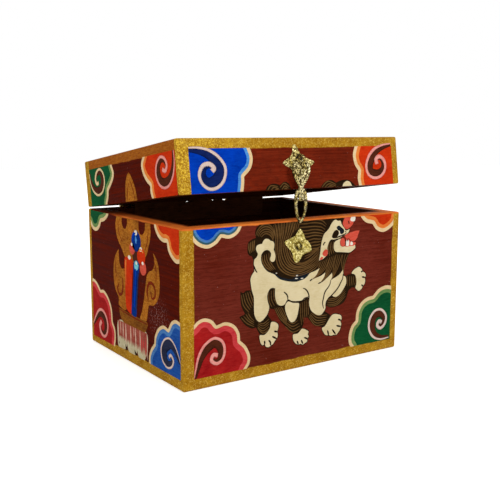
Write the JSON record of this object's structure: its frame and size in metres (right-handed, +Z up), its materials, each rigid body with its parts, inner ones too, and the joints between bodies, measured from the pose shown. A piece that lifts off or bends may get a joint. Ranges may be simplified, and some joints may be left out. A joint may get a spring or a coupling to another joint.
{
  "type": "trinket box",
  "caption": "Painted wooden box with a hinged lid standing ajar, star-shaped brass plates and a wire hasp that swings down over a brass eye to keep the lid shut.",
  "frame": {"origin": "centre of the underside of the base, on the surface the box stands on", "axes": "+X to the right along the front, +Y to the back, +Z up"},
  "size_m": [0.15, 0.1284, 0.1288],
  "materials": {
    "painted_wood": "hand-painted maroon ground with coloured ornament, satin varnish; dark stain inside, orange rim",
    "fitting_brass": "hammered, unpolished",
    "hinge_brass": "rolled, slightly dulled",
    "brad_steel": "plain wire"
  },
  "bodies": {
    "base": {"front_board": "painted_wood", "back_board": "painted_wood", "left_board": "painted_wood", "right_board": "painted_wood", "floor_board": "painted_wood", "base_corner_brads": "brad_steel", "floor_brads": "brad_steel", "base_star_plate": "fitting_brass", "base_staple": "fitting_brass", "base_hinge_nails": "hinge_brass", "left_hinge_base_leaf": "hinge_brass", "left_hinge_pin": "hinge_brass", "right_hinge_base_leaf": "hinge_brass", "right_hinge_pin": "hinge_brass"},
    "lid": {"lid_front_rail": "painted_wood", "lid_back_rail": "painted_wood", "lid_left_rail": "painted_wood", "lid_right_rail": "painted_wood", "lid_top_board": "painted_wood", "lid_corner_brads": "brad_steel", "lid_top_brads": "brad_steel", "lid_star_plate": "fitting_brass", "lid_staple": "fitting_brass", "lid_hinge_nails": "hinge_brass", "left_hinge_lid_leaf": "hinge_brass", "right_hinge_lid_leaf": "hinge_brass"},
    "hasp": {"hasp": "fitting_brass"}
  },
  "joints": [
    {"name": "lid_hinge", "type": "hinge", "parent": "base", "child": "lid", "pos_m": [0, 0.0612, 0.0845], "axis": [-1, 0, 0], "range_deg": [-7.9, 172.1]},
    {"name": "hasp_swing", "type": "hinge", "parent": "lid", "child": "hasp", "pos_m": [-0.0018, -0.0604, 0.11627], "axis": [-1, 0, 0], "range_deg": [0, 170]}
  ]
}
